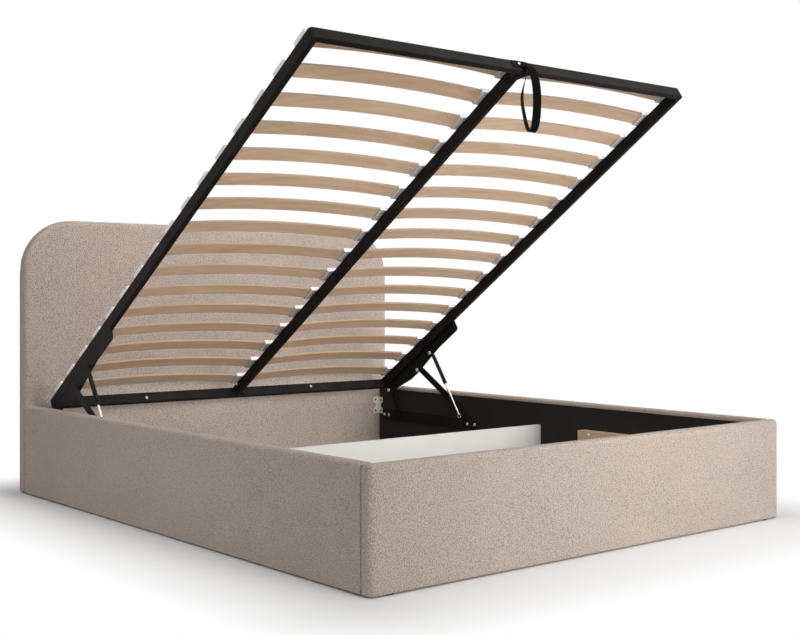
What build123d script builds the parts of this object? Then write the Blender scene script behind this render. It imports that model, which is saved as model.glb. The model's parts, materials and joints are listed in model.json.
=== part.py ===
import os
from math import cos, hypot, radians, sin

from build123d import *

os.makedirs("parts", exist_ok=True)

# The bed stands open: X runs across it, Y from the foot to the headboard, Z up, and the
# origin is on the floor at the middle. All lengths are millimetres, all angles degrees.

# Whole bed
bed_width = 1740
bed_length = 2140
rail_height = 330
headboard_height = 1030
headboard_corner_radius = 300
cut_overrun = 5
contact_gap = 0.3
running_clearance = 0.1

# Upholstered panels: a board core, a padded cover, a thin cloth on the plain side
headboard_thickness = 56
footboard_thickness = 40
rail_thickness = 46
padding = 6
lining_thickness = 1.5
turn_in = 15
back_turn_in = 25
top_edge_radius = 10
turned_edge_radius = 6
headboard_front_radius = 14
headboard_back_chamfer = 3
footboard_end_radius = 16
glide_height = 3
glide_size = 24
glide_end_margin = 70

# Corner brackets, stamped to an I and bent round the inner corners
bracket_leg = 30
bracket_thickness = 2
bracket_bottom = 200
bracket_height = 75
bracket_waist_radius = 13

# Storage floor on its cleats, and the cross divider
cleat_width = 20
cleat_height = 12
centre_bearer_width = 60
floor_thickness = 5
divider_thickness = 16
divider_bracket_leg = 26
divider_bracket_height = 60

# Support battens for the closed lift frame
closed_frame_height = 230
rest_gap = 0.5
batten_size = 40
batten_divider_gap = 241
batten_foot_gap = 35

# Lift frame of rectangular steel tube
frame_side_gap = 26
tube_height = 40
tube_width = 20
tube_wall = 1.5
tube_corner_radius = 3
frame_corner_radius = 12
gusset_size = 28
gusset_thickness = 3
lift_angle = 34
open_head_setback = 82
open_head_height = 318
closed_head_gap = 12
closed_foot_gap = 22

# Bowed slats in their end caps
slat_rows = 16
first_slat = 80
last_slat = 55
slat_width = 53
slat_thickness = 8
slat_bow = 20
cap_width = 60
cap_height = 17
cap_floor = 3
cap_overhang = 22
cap_outer_margin = 3
cap_pocket_depth = 24
cap_edge_chamfer = 2

# Lift mechanism: base bar on the rail, rear link, front arm, gas strut
base_bar_thickness = 3
base_bar_height = 46
base_bar_bottom = 176
base_bar_head_gap = 36
base_bar_foot_margin = 27
rear_link_width = 20
front_arm_width = 28
link_thickness = 4
link_bar_gap = 1
rear_base_height = 204
front_base_height = 212
rear_pivot_along = 22
rear_pivot_drop = 20
front_pivot_along = 242
front_pivot_drop = 48
strut_pivot_along = 355
strut_pivot_drop = 30
strut_base_step = 68
strut_base_height = 230
pin_radius = 5
pin_head_radius = 8
pin_head_height = 3
boss_radius = 8

# Gas strut
strut_radius = 8
strut_bore_radius = 6.5
strut_body_length = 142
strut_neck_length = 14
strut_neck_radius = 5
strut_gland_length = 5
strut_rod_radius = 4
strut_rod_length = 184
strut_piston_length = 6
strut_eye_radius = 9
strut_eye_thickness = 8
strut_pin_radius = 4
strut_pin_head_radius = 6
strut_pin_head_height = 2
anchor_tab_thickness = 3
anchor_tab_width = 26
anchor_tab_rise = 5
anchor_tab_gap = 1

# Lift bracket plates welded under the side tubes
plate_thickness = 3
plate_depth = 60
plate_head_margin = 6
plate_foot_reach = 210
plate_foot_depth = 42
plate_corner_radius = 14

# Pull strap
strap_width = 28
strap_thickness = 2
strap_drop = 206
strap_belly_radius = 30
strap_belly_drop = 110
strap_foot_radius = 16
strap_anchor_thickness = 4
strap_anchor_height = 36
strap_barrel_radius = 2.5

# Planes and faces that the pieces share
half_width = bed_width / 2
half_length = bed_length / 2
panel_bottom = glide_height
head_face = half_length - headboard_thickness
foot_face = footboard_thickness - half_length
rail_face = half_width - rail_thickness
core_inset = padding + contact_gap
lining_top = rail_height - turn_in
rail_length = head_face - foot_face
box_middle = (head_face + foot_face) / 2
divider_place = box_middle
frame_half = rail_face - frame_side_gap
frame_length = rail_length - closed_head_gap - closed_foot_gap
slat_pitch = (frame_length - first_slat - last_slat) / (slat_rows - 1)
open_head_place = head_face - open_head_setback
tube_inner = frame_half - tube_width
closed_head_place = head_face - closed_head_gap
floor_bottom = panel_bottom + cleat_height
floor_top = floor_bottom + floor_thickness
divider_top = closed_frame_height - rest_gap
sides = ((-1, "left"), (1, "right"))
upward = (Align.CENTER, Align.CENTER, Align.MIN)
downward = (Align.CENTER, Align.CENTER, Align.MAX)

# The lift frame's own plane: local X across, local -Y from its head end to its foot end, local Z
# square to the frame, from the underside of its tubes
lift_plane = Plane(
    origin=(0, open_head_place, open_head_height),
    x_dir=(1, 0, 0),
    z_dir=(0, sin(radians(lift_angle)), cos(radians(lift_angle))),
)


# Place along the bed and height of a point of the open lift frame
def open_point(along, drop):
    place = lift_plane.from_local_coords(Vector(0, -along, -drop))
    return place.Y, place.Z


# The same point with the lift frame closed and level
def closed_point(along, drop):
    return closed_head_place - along, closed_frame_height - drop


# Place along the rail of the fixed pivot at one height that the frame's pivot turns about, open to closed
def base_pivot(along, drop, height):
    open_y, open_z = open_point(along, drop)
    closed_y, closed_z = closed_point(along, drop)
    middle_y = (open_y + closed_y) / 2
    middle_z = (open_z + closed_z) / 2
    return middle_y - (closed_z - open_z) * (height - middle_z) / (closed_y - open_y)


# Pivots of the lift mechanism, as places in the YZ plane
rear_top = open_point(rear_pivot_along, rear_pivot_drop)
rear_base = (base_pivot(rear_pivot_along, rear_pivot_drop, rear_base_height), rear_base_height)
front_top = open_point(front_pivot_along, front_pivot_drop)
front_base = (base_pivot(front_pivot_along, front_pivot_drop, front_base_height), front_base_height)
strut_top = open_point(strut_pivot_along, strut_pivot_drop)
strut_base = (front_base[0] + strut_base_step, strut_base_height)
strut_length = hypot(strut_top[0] - strut_base[0], strut_top[1] - strut_base[1])
strut_direction = (
    0,
    (strut_top[0] - strut_base[0]) / strut_length,
    (strut_top[1] - strut_base[1]) / strut_length,
)

# Layers of the mechanism, as distances from the middle of the bed
bar_inner = rail_face - base_bar_thickness
link_outer = bar_inner - link_bar_gap
link_inner = link_outer - link_thickness
tab_outer = link_inner - anchor_tab_gap
tab_inner = tab_outer - anchor_tab_thickness
eye_outer = tab_inner - contact_gap
eye_inner = eye_outer - strut_eye_thickness
strut_middle = (eye_outer + eye_inner) / 2
boss_inner = frame_half + contact_gap


# A sketch plane square to X at the lower side of the layer between two distances, and its thickness
def layer(side, inner, outer):
    return Plane.YZ.offset(min(side * inner, side * outer))


divider_head_side = divider_place + divider_thickness / 2
bracket_ends = ((1, head_face), (-1, foot_face))
batten_foot_end = foot_face + batten_foot_gap
batten_head_end = divider_place - batten_divider_gap
batten_top = closed_frame_height - rest_gap
batten_middle = (batten_foot_end + batten_head_end) / 2
base_bar_middle = base_bar_bottom + base_bar_height / 2
base_bar_head_end = head_face - base_bar_head_gap
base_bar_foot_end = front_base[0] - base_bar_foot_margin


# Headboard: square at the foot of the panel, with large round top corners
def headboard_outline(inset, bottom):
    top = headboard_height - inset
    width = bed_width - 2 * inset
    radius = headboard_corner_radius - inset
    with Locations((0, (top + bottom) / 2)):
        RectangleRounded(width, top - bottom, radius)
    with Locations((0, (top - radius + bottom) / 2)):
        Rectangle(width, top - radius - bottom)


headboard_back = Plane.XZ.offset(-half_length)
headboard_core_back = Plane.XZ.offset(lining_thickness - half_length)

with BuildPart() as headboard_core:
    with BuildSketch(headboard_core_back):
        headboard_outline(core_inset, panel_bottom)
    extrude(amount=headboard_thickness - lining_thickness - core_inset)
headboard_core.part.label = "headboard_core"
export_step(headboard_core.part, "parts/headboard_core.step")

with BuildPart() as headboard_cover:
    with BuildSketch(headboard_back):
        headboard_outline(0, panel_bottom)
    extrude(amount=headboard_thickness)
    front_edges = headboard_cover.faces().sort_by(Axis.Y)[0].edges()
    fillet(front_edges.sort_by(Axis.Z)[1:], headboard_front_radius)
    back_edges = headboard_cover.faces().sort_by(Axis.Y)[-1].edges()
    chamfer(back_edges.sort_by(Axis.Z)[1:], headboard_back_chamfer)
    with BuildSketch(headboard_core_back):
        headboard_outline(padding, panel_bottom - cut_overrun)
    extrude(amount=headboard_thickness - lining_thickness - padding, mode=Mode.SUBTRACT)
    with BuildSketch(headboard_back):
        headboard_outline(back_turn_in, panel_bottom - cut_overrun)
    extrude(amount=lining_thickness, mode=Mode.SUBTRACT)
headboard_cover.part.label = "headboard_cover"
export_step(headboard_cover.part, "parts/headboard_cover.step")

with BuildPart() as headboard_backing:
    with BuildSketch(headboard_back):
        headboard_outline(back_turn_in + contact_gap, panel_bottom)
    extrude(amount=lining_thickness)
headboard_backing.part.label = "headboard_backing"
export_step(headboard_backing.part, "parts/headboard_backing.step")


# Footboard: a padded board across the whole width, lined inside between the rails
footboard_front = core_inset - half_length
footboard_core_back = foot_face - lining_thickness
footboard_core_depth = footboard_core_back - footboard_front
panel_core_height = rail_height - core_inset - panel_bottom

with BuildPart() as footboard_core:
    with Locations((0, footboard_front + footboard_core_depth / 2, panel_bottom + panel_core_height / 2)):
        Box(bed_width - 2 * core_inset, footboard_core_depth, panel_core_height)
footboard_core.part.label = "footboard_core"
export_step(footboard_core.part, "parts/footboard_core.step")

with BuildPart() as footboard_cover:
    panel_height = rail_height - panel_bottom
    with Locations((0, foot_face - footboard_thickness / 2, panel_bottom + panel_height / 2)):
        Box(bed_width, footboard_thickness, panel_height)
    fillet(footboard_cover.edges().filter_by(Axis.Z).group_by(Axis.Y)[0], footboard_end_radius)
    fillet(footboard_cover.faces().sort_by(Axis.Z)[-1].edges(), top_edge_radius)
    pocket_depth = footboard_thickness - padding - lining_thickness
    pocket_height = rail_height - padding - panel_bottom + cut_overrun
    with Locations((0, footboard_core_back, panel_bottom - cut_overrun)):
        Box(
            bed_width - 2 * padding,
            pocket_depth,
            pocket_height,
            align=(Align.CENTER, Align.MAX, Align.MIN),
            mode=Mode.SUBTRACT,
        )
    with Locations((0, foot_face, panel_bottom - cut_overrun)):
        Box(
            2 * rail_face,
            lining_thickness,
            lining_top - panel_bottom + cut_overrun,
            align=(Align.CENTER, Align.MAX, Align.MIN),
            mode=Mode.SUBTRACT,
        )
footboard_cover.part.label = "footboard_cover"
export_step(footboard_cover.part, "parts/footboard_cover.step")

with BuildPart() as footboard_lining:
    with Locations((0, foot_face, panel_bottom)):
        Box(
            2 * (rail_face - contact_gap),
            lining_thickness,
            lining_top - contact_gap - panel_bottom,
            align=(Align.CENTER, Align.MAX, Align.MIN),
        )
footboard_lining.part.label = "footboard_lining"
export_step(footboard_lining.part, "parts/footboard_lining.step")


# Side rails: one section drawn for each side and run from the footboard to the headboard
rail_plane = Plane.XZ.offset(-head_face)
core_outer = half_width - core_inset
core_inner = rail_face + lining_thickness


# A rectangle of the rail's section, between two distances from the middle and two heights
def section_box(side, inner, outer, bottom, top, mode=Mode.ADD):
    with Locations((side * (inner + outer) / 2, (bottom + top) / 2)):
        Rectangle(outer - inner, top - bottom, mode=mode)


for side, name in sides:
    with BuildPart() as rail_core:
        with BuildSketch(rail_plane):
            section_box(side, core_inner, core_outer, panel_bottom, rail_height - core_inset)
        extrude(amount=rail_length)
        rail_core.part.label = f"rail_{name}_core"
    export_step(rail_core.part, f"parts/rail_{name}_core.step")

    with BuildPart() as rail_cover:
        with BuildSketch(rail_plane) as section:
            section_box(side, rail_face, half_width, panel_bottom, rail_height)
            top_corners = section.vertices().group_by(Axis.Y)[-1].sort_by(Axis.X)
            if side < 0:
                top_corners = top_corners.sort_by(Axis.X, reverse=True)
            fillet(top_corners[0], turned_edge_radius)
            outer_corner = section.vertices().group_by(Axis.Y)[-1].sort_by(lambda v: side * v.X)[-1]
            fillet(outer_corner, top_edge_radius)
            below = panel_bottom - cut_overrun
            section_box(side, core_inner, half_width - padding, below, rail_height - padding, Mode.SUBTRACT)
            section_box(side, rail_face - cut_overrun, core_inner, below, lining_top, Mode.SUBTRACT)
        extrude(amount=rail_length)
    rail_cover.part.label = f"rail_{name}_cover"
    export_step(rail_cover.part, f"parts/rail_{name}_cover.step")

with BuildPart() as rail_linings:
    with BuildSketch(rail_plane):
        for side, _ in sides:
            section_box(side, rail_face, core_inner, panel_bottom, lining_top - contact_gap)
    extrude(amount=rail_length)
rail_linings.part.label = "rail_linings"
export_step(rail_linings.part, "parts/rail_linings.step")


# Corner brackets: two legs round the corner, drawn in at mid height
bracket_middle = bracket_bottom + bracket_height / 2

with BuildPart() as corner_brackets:
    for side, _ in sides:
        for end, face in bracket_ends:
            leg_middle = bracket_leg / 2
            sheet_middle = bracket_thickness / 2
            with Locations((side * (rail_face - leg_middle), face - end * sheet_middle, bracket_middle)):
                Box(bracket_leg, bracket_thickness, bracket_height)
            with Locations((side * (rail_face - sheet_middle), face - end * leg_middle, bracket_middle)):
                Box(bracket_thickness, bracket_leg, bracket_height)
            with Locations((side * (rail_face - bracket_leg), face, bracket_middle)):
                Cylinder(bracket_waist_radius, bracket_leg / 2, rotation=(90, 0, 0), mode=Mode.SUBTRACT)
            with Locations((side * rail_face, face - end * bracket_leg, bracket_middle)):
                Cylinder(bracket_waist_radius, bracket_leg / 2, rotation=(0, 90, 0), mode=Mode.SUBTRACT)
corner_brackets.part.label = "corner_brackets"
export_step(corner_brackets.part, "parts/corner_brackets.step")


# Storage floor: cleats along the four panels, a bearer down the middle, two boards on top
with BuildPart() as floor_cleats:
    with BuildSketch(Plane.XY.offset(panel_bottom)):
        for side, _ in sides:
            with Locations((side * (rail_face - cleat_width / 2), box_middle)):
                Rectangle(cleat_width, rail_length)
        for end, face in bracket_ends:
            with Locations((0, face - end * cleat_width / 2)):
                Rectangle(2 * (rail_face - cleat_width - contact_gap), cleat_width)
    extrude(amount=cleat_height)
    with BuildSketch(Plane.XY):
        with Locations((0, box_middle)):
            Rectangle(centre_bearer_width, rail_length - 2 * (cleat_width + contact_gap))
    extrude(amount=floor_bottom)
floor_cleats.part.label = "floor_cleats"
export_step(floor_cleats.part, "parts/floor_cleats.step")

with BuildPart() as storage_floor:
    with BuildSketch(Plane.XY.offset(floor_bottom)):
        for near, far in ((foot_face, divider_place), (divider_place, head_face)):
            with Locations((0, (near + far) / 2)):
                Rectangle(2 * (rail_face - contact_gap), far - near - 2 * contact_gap)
    extrude(amount=floor_thickness)
storage_floor.part.label = "storage_floor"
export_step(storage_floor.part, "parts/storage_floor.step")

with BuildPart() as cross_divider:
    divider_height = divider_top - floor_top
    with Locations((0, divider_place, floor_top + divider_height / 2)):
        Box(2 * (rail_face - contact_gap), divider_thickness, divider_height)
cross_divider.part.label = "cross_divider"
export_step(cross_divider.part, "parts/cross_divider.step")

with BuildPart() as divider_brackets:
    with BuildSketch(Plane.XY.offset(floor_top)):
        for side, _ in sides:
            leg_middle = divider_bracket_leg / 2
            sheet_middle = bracket_thickness / 2
            with Locations((side * (rail_face - leg_middle), divider_head_side + sheet_middle)):
                Rectangle(divider_bracket_leg, bracket_thickness)
            with Locations((side * (rail_face - sheet_middle), divider_head_side + leg_middle)):
                Rectangle(bracket_thickness, divider_bracket_leg)
    extrude(amount=divider_bracket_height)
divider_brackets.part.label = "divider_brackets"
export_step(divider_brackets.part, "parts/divider_brackets.step")

with BuildPart() as support_battens:
    batten_length = batten_head_end - batten_foot_end
    for side, _ in sides:
        with Locations((side * (rail_face - batten_size / 2), batten_middle, batten_top - batten_size / 2)):
            Box(batten_size, batten_length, batten_size)
support_battens.part.label = "support_battens"
export_step(support_battens.part, "parts/support_battens.step")

with BuildPart() as floor_glides:
    glide_across = half_width - glide_end_margin
    rail_middle = (half_width + rail_face) / 2
    glide_along = rail_length / 2 - glide_end_margin
    footboard_glides = [(side * glide_across, foot_face - footboard_thickness / 2) for side, _ in sides]
    headboard_glides = [(side * glide_across, head_face + headboard_thickness / 2) for side, _ in sides]
    rail_glides = [
        (side * rail_middle, box_middle + shift * glide_along)
        for side, _ in sides
        for shift in (-1, 0, 1)
    ]
    with BuildSketch(Plane.XY):
        with Locations(*footboard_glides, *headboard_glides, *rail_glides):
            Rectangle(glide_size, glide_size)
    extrude(amount=glide_height)
floor_glides.part.label = "floor_glides"
export_step(floor_glides.part, "parts/floor_glides.step")


# Lift frame tubes, each a hollow rectangular section
def tube_section(width, height):
    with Locations((0, height / 2)):
        RectangleRounded(width, height, tube_corner_radius)
        Rectangle(width - 2 * tube_wall, height - 2 * tube_wall, mode=Mode.SUBTRACT)


# A plane square to the frame's length, looking to its foot end, at a distance from its head end
def along_plane(across, along):
    origin = lift_plane.from_local_coords(Vector(across, -along, 0))
    return Plane(origin=origin, x_dir=(1, 0, 0), z_dir=-lift_plane.y_dir)


# A plane square to the frame's width, looking to the right, at a distance from its head end
def across_plane(across, along):
    origin = lift_plane.from_local_coords(Vector(across, -along, 0))
    return Plane(origin=origin, x_dir=lift_plane.y_dir, z_dir=(1, 0, 0))


for side, name in sides:
    with BuildPart(lift_plane) as frame_side:
        with BuildSketch(lift_plane) as plan:
            with Locations((side * (frame_half - tube_width / 2), -frame_length / 2)):
                Rectangle(tube_width, frame_length)
            foot_corner = plan.vertices().group_by(Axis.Y)[0].sort_by(lambda v: side * v.X)[-1]
            fillet(foot_corner, frame_corner_radius)
        extrude(amount=tube_height)
        tube_faces = frame_side.faces().sort_by(Axis(lift_plane.origin, lift_plane.z_dir))
        fillet(tube_faces[0].edges() + tube_faces[-1].edges(), tube_corner_radius)
        bore_length = frame_length - tube_wall - frame_corner_radius
        bore_middle = -tube_wall - bore_length / 2
        with Locations((side * (frame_half - tube_width / 2), bore_middle, tube_height / 2)):
            Box(tube_width - 2 * tube_wall, bore_length, tube_height - 2 * tube_wall, mode=Mode.SUBTRACT)
    frame_side.part.label = f"frame_side_{name}"
    export_step(frame_side.part, f"parts/frame_side_{name}.step")

for name, along in (("head", tube_width / 2), ("foot", frame_length - tube_width / 2)):
    with BuildPart() as frame_end:
        with BuildSketch(across_plane(-tube_inner, along)):
            tube_section(tube_width, tube_height)
        extrude(amount=2 * tube_inner)
    frame_end.part.label = f"frame_{name}_tube"
    export_step(frame_end.part, f"parts/frame_{name}_tube.step")

with BuildPart() as frame_centre_tube:
    with BuildSketch(along_plane(0, tube_width)):
        tube_section(tube_width, tube_height)
    extrude(amount=frame_length - 2 * tube_width)
    for along, reach in ((tube_width, 1), (frame_length - tube_width, -1)):
        for side, _ in sides:
            corner = (side * tube_width / 2, -along)
            with BuildSketch(lift_plane.offset(tube_corner_radius)):
                with BuildLine():
                    Polyline(
                        corner,
                        (side * (tube_width / 2 + gusset_size), -along),
                        (side * tube_width / 2, -along - reach * gusset_size),
                        close=True,
                    )
                make_face()
            extrude(amount=gusset_thickness)
frame_centre_tube.part.label = "frame_centre_tube"
export_step(frame_centre_tube.part, "parts/frame_centre_tube.step")


# Slats: one row is drawn level at the head end of the frame, then set out along it
cap_inner = tube_inner - cap_overhang
slat_inner_end = cap_outer_margin * 2
slat_outer_end = cap_inner + cap_pocket_depth
slat_bottom = tube_height + cap_floor
slat_middle = (slat_inner_end + slat_outer_end) / 2
slat_ends = slat_bottom + contact_gap
row_places = [(0, -(first_slat + row * slat_pitch), 0) for row in range(slat_rows)]


# The bowed section of a slat, with room around it
def slat_section(side, room):
    low = slat_ends - room
    high = low + slat_thickness + 2 * room
    start = side * (slat_inner_end - room)
    middle = side * slat_middle
    finish = side * (slat_outer_end + room)
    with BuildLine() as bow:
        ThreePointArc((start, low), (middle, low + slat_bow), (finish, low))
        Line((finish, low), (finish, high))
        ThreePointArc((finish, high), (middle, high + slat_bow), (start, high))
        Line((start, high), (start, low))
    make_face(bow.edges())


with BuildPart() as slat_pair:
    for side, _ in sides:
        with BuildSketch(Plane.XZ):
            slat_section(side, 0)
        extrude(amount=slat_width / 2, both=True)

with BuildPart() as slat_room:
    for side, _ in sides:
        with BuildSketch(Plane.XZ):
            slat_section(side, contact_gap)
        extrude(amount=slat_width / 2 + contact_gap, both=True)

for row, place in enumerate(row_places, start=1):
    with BuildPart(lift_plane) as slat_row:
        with Locations(place):
            add(slat_pair.part)
    slat_row.part.label = f"slat_row_{row:02d}"
    export_step(slat_row.part, f"parts/slat_row_{row:02d}.step")

# Slat caps: a block on the tube with a pocket for the slat's end
cap_outer = frame_half - cap_outer_margin
side_cap_width = cap_outer - cap_inner
centre_cap_width = tube_width + 2 * cap_overhang

with BuildPart() as side_cap_pair:
    for side, _ in sides:
        with Locations((side * (cap_inner + cap_outer) / 2, 0, tube_height + cap_height / 2)):
            Box(side_cap_width, cap_width, cap_height)
    cap_tops = side_cap_pair.faces().group_by(Axis.Z)[-1].edges()
    chamfer(cap_tops, cap_edge_chamfer)
    add(slat_room.part, mode=Mode.SUBTRACT)

with BuildPart() as centre_cap:
    with Locations((0, 0, tube_height + cap_height / 2)):
        Box(centre_cap_width, cap_width, cap_height)
    chamfer(centre_cap.faces().sort_by(Axis.Z)[-1].edges(), cap_edge_chamfer)
    add(slat_room.part, mode=Mode.SUBTRACT)

with BuildPart(lift_plane) as side_slat_caps:
    with Locations(*row_places):
        add(side_cap_pair.part)
side_slat_caps.part.label = "side_slat_caps"
export_step(side_slat_caps.part, "parts/side_slat_caps.step")

with BuildPart(lift_plane) as centre_slat_caps:
    with Locations(*row_places):
        add(centre_cap.part)
centre_slat_caps.part.label = "centre_slat_caps"
export_step(centre_slat_caps.part, "parts/centre_slat_caps.step")


# Lift brackets: a plate under each side tube, flush with its outer face, with three rivets in it; the rear
# one is the pin that the link turns on
plate_pivots = (rear_top, front_top, strut_top)
plate_foot_end = strut_pivot_along + plate_foot_reach


# A plane at a pivot that looks outwards, across the bed
def pivot_plane(side, distance, pivot):
    return Plane(origin=(side * distance, pivot[0], pivot[1]), z_dir=(side, 0, 0))


for side, name in sides:
    start = min(side * (frame_half - plate_thickness), side * frame_half)
    with BuildPart() as lift_bracket:
        with BuildSketch(across_plane(start, 0)) as outline:
            with BuildLine():
                Polyline(
                    (-plate_head_margin, 0),
                    (-plate_foot_end, 0),
                    (-plate_foot_end, -plate_foot_depth),
                    (-strut_pivot_along - plate_depth, -plate_foot_depth),
                    (-front_pivot_along, -plate_depth),
                    (-front_pivot_along + plate_depth, -plate_depth),
                    (-rear_pivot_along - plate_depth, -plate_foot_depth),
                    (-plate_head_margin, -plate_foot_depth),
                    close=True,
                )
            make_face()
            low_corners = outline.vertices().filter_by(lambda v: v.Y < 0)
            fillet(low_corners, plate_corner_radius)
        extrude(amount=plate_thickness)
        with Locations(*[pivot_plane(side, frame_half - plate_thickness, pivot) for pivot in plate_pivots]):
            Cone(pin_radius, pin_head_radius, pin_head_height, align=downward)
        with Locations(pivot_plane(side, frame_half, rear_top)):
            Cylinder(pin_radius, link_outer - frame_half, align=upward)
    lift_bracket.part.label = f"lift_bracket_{name}"
    export_step(lift_bracket.part, f"parts/lift_bracket_{name}.step")


# Base bars: a flat bar with round ends, a tab folded in under the front arm for the strut, and three
# headed pins riveted into them
for side, name in sides:
    with BuildPart() as lift_base:
        with BuildSketch(layer(side, bar_inner, rail_face)):
            bar_centre = (base_bar_foot_end + base_bar_head_end) / 2
            with Locations((bar_centre, base_bar_middle)):
                SlotOverall(base_bar_head_end - base_bar_foot_end, base_bar_height)
        extrude(amount=base_bar_thickness)
        inner_face = link_inner - contact_gap
        with Locations(*[pivot_plane(side, inner_face, pivot) for pivot in (rear_base, front_base)]):
            Cone(pin_radius, pin_head_radius, pin_head_height, align=downward)
            Cylinder(pin_radius, bar_inner - inner_face, align=upward)
        tab_foot = base_bar_bottom + anchor_tab_rise
        with Locations((side * (bar_inner + tab_inner) / 2, strut_base[0], tab_foot)):
            Box(bar_inner - tab_inner, anchor_tab_width, anchor_tab_thickness, align=upward)
        with BuildSketch(layer(side, tab_inner, tab_outer)):
            tab_height = strut_base[1] - tab_foot
            with Locations((strut_base[0], strut_base[1] - tab_height / 2)):
                Rectangle(anchor_tab_width, tab_height)
            with Locations(strut_base):
                Circle(anchor_tab_width / 2)
        extrude(amount=anchor_tab_thickness)
        with Locations(pivot_plane(side, eye_inner - contact_gap, strut_base)):
            Cone(strut_pin_radius, strut_pin_head_radius, strut_pin_head_height, align=downward)
            Cylinder(strut_pin_radius, tab_inner - eye_inner + contact_gap, align=upward)
        lift_base.part.label = f"lift_base_{name}"
    export_step(lift_base.part, f"parts/lift_base_{name}.step")

# A flat link between two pivots
def link_outline(first, second, width):
    SlotCenterPoint(((first[0] + second[0]) / 2, (first[1] + second[1]) / 2), second, width)


# Rear links: a flat bar with a tubular boss out to the frame's plate
for side, name in sides:
    with BuildPart() as rear_link:
        with BuildSketch(layer(side, link_inner, link_outer)):
            link_outline(rear_base, rear_top, rear_link_width)
        extrude(amount=link_thickness)
        with BuildSketch(layer(side, boss_inner, link_inner)):
            with Locations(rear_top):
                Circle(boss_radius)
        extrude(amount=link_inner - boss_inner)
        with BuildSketch(layer(side, boss_inner, link_outer)):
            with Locations(rear_base, rear_top):
                Circle(pin_radius + running_clearance)
        extrude(amount=link_outer - boss_inner, mode=Mode.SUBTRACT)
    rear_link.part.label = f"rear_link_{name}"
    export_step(rear_link.part, f"parts/rear_link_{name}.step")

# Front arms: a longer flat bar with a solid boss that ends beside the frame's plate
for side, name in sides:
    with BuildPart() as front_arm:
        with BuildSketch(layer(side, link_inner, link_outer)):
            link_outline(front_base, front_top, front_arm_width)
            with Locations(front_base):
                Circle(pin_radius + running_clearance, mode=Mode.SUBTRACT)
        extrude(amount=link_thickness)
        with BuildSketch(layer(side, boss_inner, link_inner)):
            with Locations(front_top):
                Circle(boss_radius)
        extrude(amount=link_inner - boss_inner)
    front_arm.part.label = f"front_arm_{name}"
    export_step(front_arm.part, f"parts/front_arm_{name}.step")


# Gas struts: the rod with its eye and piston, and the cylinder with its neck and top eye
body_start = strut_length - strut_neck_length - strut_body_length

for side, name in sides:
    rod_plane = Plane(
        origin=(side * strut_middle, strut_base[0], strut_base[1]), x_dir=(1, 0, 0), z_dir=strut_direction
    )
    with BuildPart(rod_plane) as strut_rod:
        Cylinder(strut_eye_radius, strut_eye_thickness, rotation=(0, 90, 0))
        Cylinder(strut_rod_radius, strut_rod_length, align=upward)
        with Locations((0, 0, strut_rod_length)):
            Cylinder(strut_bore_radius - running_clearance, strut_piston_length, align=downward)
        Cylinder(
            strut_pin_radius + running_clearance,
            strut_eye_thickness + cut_overrun,
            rotation=(0, 90, 0),
            mode=Mode.SUBTRACT,
        )
    strut_rod.part.label = f"strut_rod_{name}"
    export_step(strut_rod.part, f"parts/strut_rod_{name}.step")

    with BuildPart(rod_plane) as strut_body:
        with Locations((0, 0, body_start)):
            Cylinder(strut_radius, strut_body_length, align=upward)
            Cylinder(
                strut_rod_radius + running_clearance,
                strut_gland_length,
                align=upward,
                mode=Mode.SUBTRACT,
            )
        with Locations((0, 0, body_start + strut_gland_length)):
            Cylinder(
                strut_bore_radius,
                strut_body_length - 2 * strut_gland_length,
                align=upward,
                mode=Mode.SUBTRACT,
            )
        with Locations((0, 0, strut_length - strut_neck_length)):
            Cylinder(strut_neck_radius, strut_neck_length, align=upward)
        with Locations((0, 0, strut_length)):
            Cylinder(strut_eye_radius, strut_eye_thickness, rotation=(0, 90, 0))
    with BuildPart() as strut_cylinder:
        add(strut_body.part)
        with BuildSketch(layer(side, boss_inner, eye_inner)):
            with Locations(strut_top):
                Circle(strut_pin_radius)
        extrude(amount=eye_inner - boss_inner)
    strut_cylinder.part.label = f"strut_cylinder_{name}"
    export_step(strut_cylinder.part, f"parts/strut_cylinder_{name}.step")


# Pull strap: its sewn end lies flat on the foot tube, and the loop hangs from the end's lower edge
with BuildPart() as strap_anchor:
    with BuildSketch(along_plane(0, frame_length)):
        with Locations((0, strap_anchor_height / 2)):
            Rectangle(strap_width, strap_anchor_height)
    extrude(amount=strap_anchor_thickness)
strap_anchor.part.label = "strap_anchor"
export_step(strap_anchor.part, "parts/strap_anchor.step")

strap_pivot = lift_plane.from_local_coords(
    Vector(0, -frame_length - strap_anchor_thickness / 2, -strap_barrel_radius - contact_gap)
)
strap_plane = Plane(
    origin=(-strap_width / 2, strap_pivot.Y, strap_pivot.Z), x_dir=(0, 1, 0), z_dir=(1, 0, 0)
)

with BuildPart() as pull_strap:
    with BuildSketch(strap_plane):
        with BuildLine() as loop_rounds:
            CenterArc((0, 0), strap_barrel_radius, 0, 360)
            CenterArc((0, -strap_belly_drop), strap_belly_radius, 0, 360)
            CenterArc((0, strap_foot_radius - strap_drop), strap_foot_radius, 0, 360)
        make_hull(loop_rounds.edges())
        offset(amount=-strap_thickness, mode=Mode.SUBTRACT)
        Circle(strap_barrel_radius)
    extrude(amount=strap_width)
pull_strap.part.label = "pull_strap"
export_step(pull_strap.part, "parts/pull_strap.step")

# What the joints need
print("lift hinge", rear_top, "rear base", rear_base, "front base", front_base)
print("strut base", strut_base, "direction", strut_direction, "length", strut_length)
print("strap pivot", strap_pivot)
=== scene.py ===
import json
import math
import random

import bpy
from mathutils import Matrix, Vector


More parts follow.
